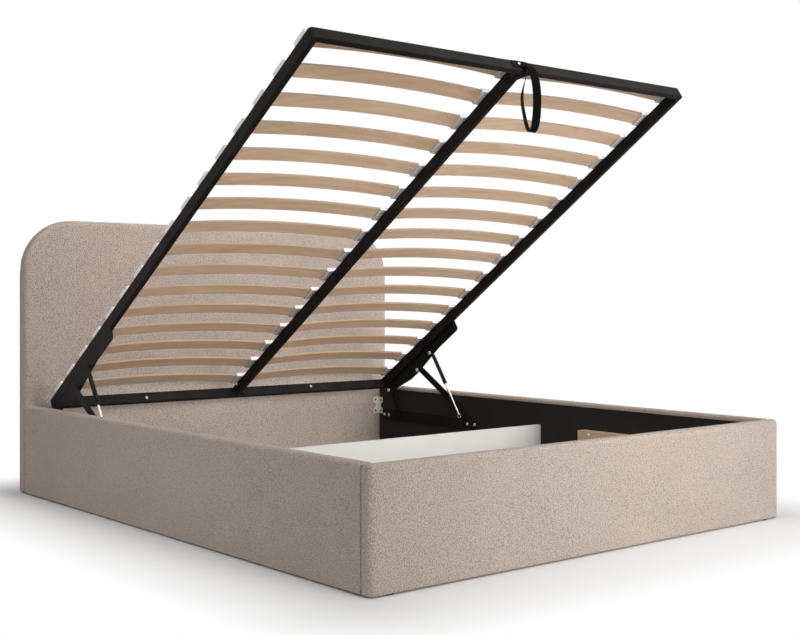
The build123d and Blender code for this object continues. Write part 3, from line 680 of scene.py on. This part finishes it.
def makeHeadboardCover():
    # The photographed corner is tighter than the solid's, so only the room for the board keeps the solid's
    shape = {"corner": 0.197, "boardCorner": 0.300, "front": 0.015, "back": 0.005, "padding": 0.006,
             "turnIn": 0.025, "cloth": 0.0015, "voxel": 0.0075, "swell": 0.0035, "grain": 0.22}
    low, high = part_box("headboard_cover")

    def roundTop(block, corner):
        roundEdges(block, corner, 20, lambda spot, way: abs(way.y) > 0.9 and spot.z > high.z / 2)

    def panel(name, corner, inset, front, back, bottom):
        block = addBlock(name, (low.x + inset, front, bottom), (high.x - inset, back, high.z - inset))
        roundTop(block, corner - inset)
        return block

    piece = panel("headboardCover", shape["corner"], 0, low.y, high.y, low.z)
    roundEdges(piece, shape["front"], 4, lambda spot, way: near(spot.y, low.y) and not near(spot.z, low.z))
    roundEdges(piece, shape["back"], 2, lambda spot, way: near(spot.y, high.y) and not near(spot.z, low.z))
    softenBlock(piece, shape["voxel"], 3)

    def weigh(spot):
        sides = fade(high.x - abs(spot.x), 0.0, 0.10) * fade(high.z - spot.z, 0.0, 0.12)
        front = 1.0 if spot.y < low.y + 0.01 else 0.0
        return front * sides * fade(spot.z, 0.34, 0.42)

    swellCloth(piece, shape["swell"], shape["grain"], weigh)
    cutAway(piece, panel("boardRoom", shape["boardCorner"], shape["padding"], low.y + shape["padding"],
                         high.y - shape["cloth"], low.z - cutter["below"]))
    cutAway(piece, panel("backingRoom", shape["corner"], shape["turnIn"], high.y - 2 * shape["cloth"],
                         high.y + cutter["beyond"], low.z - cutter["below"]))
    finishCover(piece, "headboard_cover")


def makeFootboardCover():
    shape = {"end": 0.018, "top": 0.011, "padding": 0.006, "cloth": 0.0015, "voxel": 0.0055, "swell": 0.0035,
             "grain": 0.20, "inside": 0.824, "liningTop": 0.315}
    low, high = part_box("footboard_cover")
    piece = addBlock("footboardCover", low, high)
    roundEdges(piece, shape["end"], 5, lambda spot, way: abs(way.z) > 0.9 and near(spot.y, low.y))
    roundEdges(piece, shape["top"], 4, lambda spot, way: near(spot.z, high.z) and abs(way.z) < 0.5)
    softenBlock(piece, shape["voxel"], 4)

    def weigh(spot):
        front = 1.0 if spot.y < low.y + 0.008 else 0.0
        ends = fade(high.x - abs(spot.x), 0.0, 0.08)
        return front * ends * fade(high.z - spot.z, 0.0, 0.06) * fade(spot.z, 0, 0.04)

    swellCloth(piece, shape["swell"], shape["grain"], weigh)
    pad, cloth, inside = shape["padding"], shape["cloth"], shape["inside"]
    cutAway(piece, addBlock("boardRoom", (low.x + pad, low.y + pad, -cutter["below"]),
                            (high.x - pad, high.y - cloth, high.z - pad)))
    cutAway(piece, addBlock("liningRoom", (-inside, high.y - 2 * cloth, -cutter["below"]),
                            (inside, high.y + cutter["beyond"], shape["liningTop"])))
    finishCover(piece, "footboard_cover")


def makeRailCover(side, name):
    shape = {"outer": 0.011, "inner": 0.010, "padding": 0.006, "cloth": 0.0015, "voxel": 0.0055,
             "swell": 0.0035, "grain": 0.20, "liningTop": 0.315, "endStrip": 0.007}
    low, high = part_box(f"rail_{name}_cover")
    outside = high.x if side > 0 else low.x
    inside = low.x if side > 0 else high.x
    piece = addBlock(f"rail{name.capitalize()}Cover", low, high)
    for radius, face in ((shape["outer"], outside), (shape["inner"], inside)):
        roundEdges(piece, radius, 4,
                   lambda spot, way: abs(way.y) > 0.9 and near(spot.x, face) and near(spot.z, high.z))
    softenBlock(piece, shape["voxel"], 3)

    def weigh(spot):
        face = 1.0 if abs(spot.x - outside) < 0.008 else 0.0
        ends = fade(high.y - spot.y, 0, 0.06) * fade(spot.y - low.y, 0, 0.06)
        return face * ends * fade(high.z - spot.z, 0.0, 0.06) * fade(spot.z, 0, 0.04)

    swellCloth(piece, shape["swell"], shape["grain"], weigh)
    cloth, pad, strip = side * shape["cloth"], side * shape["padding"], shape["endStrip"]
    across = sorted((inside + cloth, outside - pad))
    cutAway(piece, addBlock("boardRoom", (across[0], low.y - cutter["beyond"], -cutter["below"]),
                            (across[1], high.y + cutter["beyond"], high.z - shape["padding"])))
    across = sorted((inside - side * cutter["beyond"], inside + 2 * cloth))
    cutAway(piece, addBlock("liningRoom", (across[0], low.y + strip, -cutter["below"]),
                            (across[1], high.y - strip, shape["liningTop"])))
    finishCover(piece, f"rail_{name}_cover")


makeHeadboardCover()
makeFootboardCover()
makeRailCover(-1, "left")
makeRailCover(1, "right")
print("covers ready")


# ---- lining cloth, stretched over the plain faces
def makeLiningSheet(name, body, node, middle, width, height, turn, cells):
    cloth = {"thickness": 0.0009, "pucker": 0.0005, "grain": 0.05}
    bpy.ops.object.select_all(action="DESELECT")
    bpy.ops.mesh.primitive_grid_add(x_subdivisions=cells[0], y_subdivisions=cells[1], size=1, location=middle,
                                    rotation=turn)
    bpy.context.object.scale = (width, height, 1)
    piece = nameNew(name)
    pucker = bpy.data.textures.new(name + "Pucker", "CLOUDS")
    pucker.noise_scale = cloth["grain"]
    modify(piece, "DISPLACE", texture=pucker, strength=cloth["pucker"], mid_level=1.0)
    modify(piece, "SOLIDIFY", thickness=cloth["thickness"], offset=-1)
    smoothShade(piece, 40)
    settle(piece, body, "lining", replaced=[node])
    return piece


def makeLinings():
    lining = {"gap": 0.0003, "endStrip": 0.007, "railFace": 0.0014, "footFace": 0.0001}
    low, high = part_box("rail_linings")
    length, height = high.y - low.y - 2 * lining["endStrip"], high.z - low.z
    for side, name in ((-1, "left"), (1, "right")):
        middle = (side * (high.x - lining["railFace"]), (low.y + high.y) / 2, (low.z + high.z) / 2)
        makeLiningSheet(f"rail{name.capitalize()}Lining", "bed_base", "rail_linings", middle, length, height,
                        (math.radians(90), 0, math.radians(90 * -side)), (160, 24))
    low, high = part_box("footboard_lining")
    middle = (0, high.y - lining["footFace"], (low.z + high.z) / 2)
    makeLiningSheet("footboardLining", "bed_base", "footboard_lining", middle,
                    high.x - low.x - lining["gap"], high.z - low.z,
                    (math.radians(90), 0, math.radians(180)), (120, 24))


def makeBacking():
    cloth = {"corner": 0.172, "face": 0.0001, "side": 0.0001, "reach": 0.02, "below": 0.01}
    low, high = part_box("headboard_backing")
    piece = makeLiningSheet("headboardBacking", "bed_base", "headboard_backing",
                            (0, high.y - cloth["face"], (low.z + high.z) / 2), high.x - low.x, high.z - low.z,
                            (math.radians(90), 0, math.radians(180)), (120, 72))
    keeper = addBlock("backingOutline",
                      (low.x - cloth["side"], low.y - cloth["reach"], low.z - cloth["below"]),
                      (high.x + cloth["side"], high.y + cloth["reach"], high.z))
    roundEdges(keeper, cloth["corner"], 20, lambda spot, way: abs(way.y) > 0.9 and spot.z > high.z / 2)
    modify(piece, "BOOLEAN", operation="INTERSECT", object=keeper, solver="EXACT")
    bpy.data.objects.remove(keeper)


makeLinings()
makeBacking()
print("linings ready")


# ---- fasteners
def turnPiece(name, rings, sides):
    bpy.ops.object.select_all(action="DESELECT")
    radius, height = rings[0]
    bpy.ops.mesh.primitive_circle_add(vertices=sides, radius=radius, fill_type="NGON",
                                      location=(0, 0, height))
    piece = nameNew(name)
    pick(piece, "faces", lambda spot, way: True)
    for nextRadius, nextHeight in rings[1:]:
        bpy.ops.mesh.extrude_region_move(TRANSFORM_OT_translate={"value": (0, 0, nextHeight - height)})
        ratio = nextRadius / radius
        bpy.ops.transform.resize(value=(ratio, ratio, 1), center_override=(0, 0, nextHeight))
        radius, height = nextRadius, nextHeight
    bpy.ops.mesh.select_all(action="SELECT")
    bpy.ops.mesh.normals_make_consistent(inside=False)
    bpy.ops.object.mode_set(mode="OBJECT")
    return piece


def crossHead(size=1.0):
    head = {"radius": 0.0042, "rise": 0.0026, "slot": 0.0011, "reach": 0.0024, "depth": 0.0013}
    head = {part: size * length for part, length in head.items()}
    r, h = head["radius"], head["rise"]
    rings = [(r, -0.0004), (r, 0.0006), (0.86 * r, 0.6 * h), (0.55 * r, 0.9 * h), (0.25 * r, h)]
    piece = turnPiece("crossHead", rings, 14)
    for across, along in ((head["reach"], head["slot"] / 2), (head["slot"] / 2, head["reach"])):
        cutAway(piece, addBlock("slotRoom", (-across, -along, h - head["depth"]), (across, along, h * 2)))
    return piece


def domeHead(radius, rise, socket):
    rings = [(radius, -0.0004), (radius, 0.25 * rise), (0.92 * radius, 0.55 * rise),
             (0.72 * radius, 0.85 * rise), (0.42 * radius, rise)]
    piece = turnPiece("domeHead", rings, 18)
    if socket:
        bpy.ops.object.select_all(action="DESELECT")
        bpy.ops.mesh.primitive_cylinder_add(vertices=6, radius=socket, depth=rise, location=(0, 0, rise))
        cutAway(piece, nameNew("socketRoom"))
    return piece


def scatter(name, template, places, body, finish="zinc", slot="zinc", angle=35):
    copies = []
    for spot, normal in places:
        copy = template.copy()
        copy.data = template.data.copy()
        bpy.context.scene.collection.objects.link(copy)
        turn = Vector((0, 0, 1)).rotation_difference(Vector(normal)).to_matrix().to_4x4()
        spin = Matrix.Rotation(chance.uniform(0, math.pi / 2), 4, "Z")
        copy.data.transform(Matrix.Translation(spot) @ turn @ spin)
        copies.append(copy)
    bpy.data.objects.remove(template)
    piece = joinAs(name, copies)
    smoothShade(piece, angle)
    settle(piece, body, slot, finish)


sides = (-1, 1)
liftFootward = liftTurn.inverted() @ Vector((0, -1, 0))


def makeScrews():
    corner = {"rail": 0.824, "head": 1.014, "foot": -1.030, "reach": 0.020, "plate": 0.002,
              "heights": (0.213, 0.262)}
    places = []
    for side in sides:
        for end, face in ((1, corner["head"]), (-1, corner["foot"])):
            for height in corner["heights"]:
                across, along = side * (corner["rail"] - corner["reach"]), face - end * corner["plate"]
                places.append(((across, along, height), (0, -end, 0)))
                across, along = side * (corner["rail"] - corner["plate"]), face - end * corner["reach"]
                places.append(((across, along, height), (-side, 0, 0)))
    scatter("cornerScrews", crossHead(), places, "bed_base", "black_steel")

    divider = {"face": 0.0, "heights": (0.035, 0.065), "reach": 0.014, "plate": 0.002}
    places = []
    for side in sides:
        for height in divider["heights"]:
            across = side * (corner["rail"] - divider["plate"])
            places.append(((across, divider["face"] + divider["reach"], height), (-side, 0, 0)))
            across = side * (corner["rail"] - divider["reach"])
            places.append(((across, divider["face"] + divider["plate"], height), (0, 1, 0)))
    scatter("dividerScrews", crossHead(), places, "bed_base")

    batten = {"width": 0.040, "footEnd": 0.060, "headEnd": 0.055, "lift": 0.006, "size": 1.6}
    low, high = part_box("support_battens")
    along = (low.y + batten["footEnd"], (low.y + high.y) / 2, high.y - batten["headEnd"])
    height = (low.z + high.z) / 2 + batten["lift"]
    places = [((side * (corner["rail"] - batten["width"]), spot, height), (-side, 0, 0))
              for side in sides for spot in along]
    scatter("battenScrews", crossHead(batten["size"]), places, "bed_base")


def makeBolts():
    # The closed rear links pass over the head-end bolts with 1 mm to spare, so those are flat
    bar = {"inner": 0.821, "foot": ((0.409, 0.198), (0.365, 0.199)), "head": ((0.967, 0.198), (0.936, 0.198))}
    for name, spots, head in (("liftBaseBolts", bar["foot"], domeHead(0.0075, 0.0042, 0.0026)),
                              ("liftBaseFlatBolts", bar["head"], domeHead(0.0070, 0.0007, 0.0026))):
        places = [((side * bar["inner"], along, height), (-side, 0, 0))
                  for side in sides for along, height in spots]
        scatter(name, head, places, "bed_base")

    tube = lift["tube"]
    places = [(onFrame(across, tube, height), liftFootward)
              for across, height in ((-0.412, 0.016), (0.380, 0.024))]
    places.append((onFrame(-0.010, 0.055, 0.034), Vector((-1, 0, 0))))
    scatter("frameBolts", domeHead(0.0055, 0.0030, 0.0020), places, "lift_frame")

    pivot = {"face": 0.7921, "spots": ((0.022, 0.020), (0.242, 0.048), (0.355, 0.030))}
    places = [((side * pivot["face"], *onFrame(0, along, -drop).yz), (-side, 0, 0))
              for side in sides for along, drop in pivot["spots"]]
    scatter("pivotRivets", domeHead(0.0085, 0.0032, 0), places, "lift_frame")


# Staples hold the backing's edge to the board, just inside the cover's turned-in border
def makeStaples():
    staple = {"length": 0.010, "wire": 0.0010, "rise": 0.0006, "inset": 0.006, "corner": 0.166,
              "pitch": 0.048, "sunk": 0.0002, "start": 0.04, "lean": 7}
    low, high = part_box("headboard_backing")
    inset, radius, face = staple["inset"], staple["corner"], high.y - staple["sunk"]
    left, right, top = low.x + inset, high.x - inset, high.z - inset
    start = low.z + staple["start"]
    runs = [((left, start), (left, top - radius)), ((left + radius, top), (right - radius, top)),
            ((right, top - radius), (right, start))]
    places = []
    for (x, z), (endX, endZ) in runs:
        length = math.hypot(endX - x, endZ - z)
        count = round(length / staple["pitch"])
        for n in range(count + 1):
            share = n / count
            places.append((x + (endX - x) * share, z + (endZ - z) * share, 90 if endX == x else 0))
    count = round(math.pi / 2 * radius / staple["pitch"])
    for n in range(1, count):
        turn = math.pi / 2 * n / count
        across, up = radius * math.cos(turn), top - radius + radius * math.sin(turn)
        places.append((right - radius + across, up, 90 + math.degrees(turn)))
        places.append((left + radius - across, up, 90 - math.degrees(turn)))
    parts = []
    for x, z, angle in places:
        wire = addBlock("staple", (-staple["length"] / 2, -staple["rise"], -staple["wire"] / 2),
                        (staple["length"] / 2, staple["rise"], staple["wire"] / 2))
        lean = math.radians(angle + chance.uniform(-staple["lean"], staple["lean"]))
        wire.data.transform(Matrix.Translation((x, face, z)) @ Matrix.Rotation(-lean, 4, "Y"))
        parts.append(wire)
    piece = joinAs("backingStaples", parts)
    settle(piece, "bed_base", "zinc")


makeScrews()
makeBolts()
makeStaples()
print("fasteners ready")


# ---- pull strap: one length of webbing, both ends under a screw on the foot tube
def strapRibbon(name, stations, width, cuts):
    # Each station: a point of the middle line and the way that the width lies there
    bpy.ops.object.select_all(action="DESELECT")
    bpy.ops.mesh.primitive_grid_add(x_subdivisions=cuts, y_subdivisions=4, size=1)
    piece = nameNew(name)
    points = [Vector(spot) for spot, way in stations]
    ways = [Vector(way).normalized() for spot, way in stations]
    steps = 800

    # A smooth curve through the stations' values, at a place counted in stations
    def smoothRun(values, at):
        index = min(int(at), len(values) - 2)
        step = at - index
        before, after = values[max(index - 1, 0)], values[min(index + 2, len(values) - 1)]
        first, second = values[index], values[index + 1]
        return 0.5 * (2 * first + (second - before) * step
                      + (2 * before - 5 * first + 4 * second - after) * step ** 2
                      + (3 * first - before - 3 * second + after) * step ** 3)

    # Even steps along the line, so that the weave isn't stretched
    fine = [smoothRun(points, n * (len(points) - 1) / steps) for n in range(steps + 1)]
    runs = [0.0]
    for before, after in zip(fine, fine[1:]):
        runs.append(runs[-1] + (after - before).length)
    uv = piece.data.uv_layers[0].data
    place = {}
    for vertex in piece.data.vertices:
        target = (vertex.co.x + 0.5) * runs[-1]
        spot = min(sum(1 for run in runs if run <= target + 1e-9) - 1, steps - 1)
        at = (spot + (target - runs[spot]) / (runs[spot + 1] - runs[spot])) * (len(points) - 1) / steps
        place[vertex.index] = (target, vertex.co.y * width)
        ahead = (fine[spot + 1] - fine[spot]).normalized()
        way = smoothRun(ways, at)
        vertex.co = smoothRun(points, at) + (way - ahead * way.dot(ahead)).normalized() * vertex.co.y * width
    for loop in piece.data.loops:
        uv[loop.index].uv = place[loop.vertex_index]
    return piece


def makeStrap():
    strap = {"width": 0.026, "thickness": 0.0013, "screw": (-0.0106, 0.0230), "screwFace": 0.0045,
             "headRise": 0.0008, "hinge": (-0.7376, 1.4408)}
    seam = {"rows": (-0.0335, -0.0305), "count": 7, "start": 0.0125, "pitch": 0.0033, "face": 0.0030}
    rise = liftTurn.inverted() @ Vector((0, 0, 1))
    edgeOn, facing = (0.71, 0.70, 0.0), (0.70, -0.71, 0.0)

    # A point on the foot tube's outer face, or a little off it
    def onTube(across, height, off):
        return onFrame(across, lift["length"] + off, height)

    stations = [
        (onTube(-0.038, 0.0225, 0.0030), rise), (onTube(-0.022, 0.0225, 0.0034), rise),
        (onTube(-0.008, 0.0225, 0.0038), rise), (onTube(0.003, 0.0200, 0.0055), (0.25, 0.62, 0.74)),
        (onTube(0.0085, 0.0120, 0.0070), (0.50, 0.72, 0.48)),
        (onTube(0.0100, 0.0030, 0.0060), (0.62, 0.76, 0.20)),
        ((0.0100, -0.7385, 1.4300), edgeOn), ((0.0085, -0.7330, 1.4100), edgeOn),
        ((0.0064, -0.7280, 1.3900), (0.78, 0.62, 0)), ((0.0044, -0.7250, 1.3650), (0.88, 0.47, 0)),
        ((0.0048, -0.7250, 1.3420), (0.91, 0.41, 0)), ((0.0076, -0.7270, 1.3200), (0.93, 0.37, 0)),
        ((0.0105, -0.7310, 1.2950), (0.94, 0.34, 0)), ((0.0125, -0.7375, 1.2700), (0.96, 0.28, 0)),
        ((0.0140, -0.7450, 1.2555), (0.98, 0.18, 0)), ((0.0170, -0.7545, 1.2520), (0.98, -0.12, 0)),
        ((0.0205, -0.7625, 1.2640), (0.92, -0.36, 0)), ((0.0225, -0.7665, 1.2850), (0.84, -0.54, 0)),
        ((0.0240, -0.7690, 1.3130), facing), ((0.0275, -0.7670, 1.3520), facing),
        ((0.0305, -0.7620, 1.3840), facing), ((0.0345, -0.7520, 1.4150), (0.84, -0.54, 0)),
        (onTube(0.0365, 0.0020, 0.0060), (0.96, -0.25, 0.05)),
        (onTube(0.0345, 0.0130, 0.0058), (0.85, 0.30, 0.40)),
        (onTube(0.0265, 0.0215, 0.0042), (0.45, 0.50, 0.72)), (onTube(0.0150, 0.0245, 0.0024), rise),
        (onTube(0.0020, 0.0240, 0.0014), rise), (onTube(-0.0120, 0.0225, 0.0013), rise),
        (onTube(-0.0300, 0.0225, 0.0012), rise),
    ]
    piece = strapRibbon("pullStrap", stations, strap["width"], 220)
    modify(piece, "SOLIDIFY", thickness=strap["thickness"], offset=0)
    smoothShade(piece, 50)
    piece.data.materials.clear()
    piece.data.materials.append(finishes["webbing"])
    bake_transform(piece)
    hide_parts("pull_strap", "strap_anchor")

    stitch = addBlock("stitch", (-0.0011, -0.00022, -0.0002), (0.0011, 0.00022, 0.00025))
    roundEdges(stitch, 0.0001, 1, lambda spot, way: spot.z > 0)
    face = seam["face"] + strap["thickness"] / 2
    places = [(onTube(across, seam["start"] + seam["pitch"] * n, face), liftFootward)
              for across in seam["rows"] for n in range(seam["count"])]
    scatter("strapStitches", stitch, places, "lift_frame", "thread", "webbing")

    across, height = strap["screw"]
    screwPlace = onTube(across, height, strap["screwFace"])
    washer = turnPiece("strapWasher", [(0.0066, -0.0006), (0.0066, 0.0005), (0.0060, 0.0008)], 20)
    scatter("strapWasher", washer, [(screwPlace, liftFootward)], "lift_frame", "black_steel", "black_steel")
    headPlace = screwPlace + liftFootward * strap["headRise"]
    scatter("strapScrew", domeHead(0.0047, 0.0026, 0.0018), [(headPlace, liftFootward)], "lift_frame")


makeStrap()
print("strap ready")
